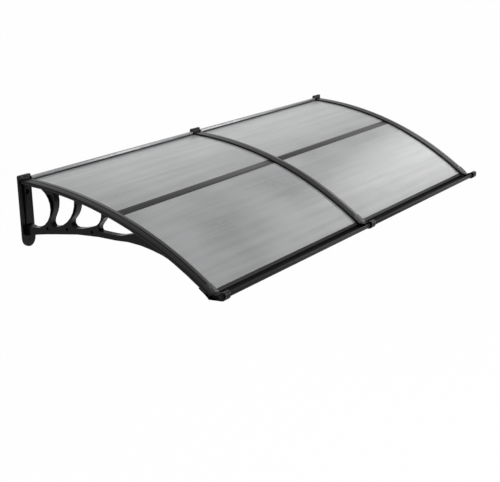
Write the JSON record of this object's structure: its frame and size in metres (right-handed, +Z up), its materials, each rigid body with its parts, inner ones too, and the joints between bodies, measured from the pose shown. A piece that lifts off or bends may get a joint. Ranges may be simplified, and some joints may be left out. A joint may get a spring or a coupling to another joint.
{
  "type": "door awning",
  "caption": "Arched awning for fixing over a door: moulded openwork brackets carry curved hollow sheets held by press strips, with a rear rail and a front gutter.",
  "frame": {"origin": "back face of the centre bracket's wall plate, midway between its two bolt holes", "axes": "+X along the wall, to the right when facing the wall from outside; +Y into the wall; +Z up. The awning reaches out to -Y."},
  "size_m": [2.47, 0.9218, 0.4007],
  "materials": {
    "black_plastic": "moulded black plastic, satin",
    "black_aluminium": "extruded aluminium, black anodised",
    "grey_aluminium": "extruded aluminium, dark grey anodised",
    "silver_aluminium": "extruded aluminium, natural anodised",
    "grey_sheet": "twin-wall polycarbonate, translucent grey",
    "black_rubber": "extruded rubber, black",
    "zinc_steel": "zinc-plated steel"
  },
  "bodies": {
    "root": {"bracket_left": "black_plastic", "bracket_center": "black_plastic", "bracket_right": "black_plastic", "press_strip_left": "black_aluminium", "press_strip_center": "black_aluminium", "press_strip_right": "black_aluminium", "strip_end_left": "black_plastic", "strip_end_center": "black_plastic", "strip_end_right": "black_plastic", "gutter_collar_left": "black_plastic", "gutter_collar_center": "black_plastic", "gutter_collar_right": "black_plastic", "seal_strip_left_left": "black_rubber", "seal_strip_left_right": "black_rubber", "seal_strip_center_left": "black_rubber", "seal_strip_center_right": "black_rubber", "seal_strip_right_left": "black_rubber", "seal_strip_right_right": "black_rubber", "sheet_rear_left": "grey_sheet", "sheet_rear_right": "grey_sheet", "sheet_front_left": "grey_sheet", "sheet_front_right": "grey_sheet", "joining_strip_left": "grey_aluminium", "joining_strip_right": "grey_aluminium", "rear_rail_left": "silver_aluminium", "rear_rail_right": "silver_aluminium", "rear_seal_left": "black_rubber", "rear_seal_right": "black_rubber", "front_gutter_left": "black_aluminium", "front_gutter_right": "black_aluminium", "strip_screw_left_1": "zinc_steel", "strip_screw_left_2": "zinc_steel", "strip_screw_left_3": "zinc_steel", "strip_screw_center_1": "zinc_steel", "strip_screw_center_2": "zinc_steel", "strip_screw_center_3": "zinc_steel", "strip_screw_right_1": "zinc_steel", "strip_screw_right_2": "zinc_steel", "strip_screw_right_3": "zinc_steel", "collar_screw_left": "zinc_steel", "collar_screw_center": "zinc_steel", "collar_screw_right": "zinc_steel"}
  },
  "joints": []
}
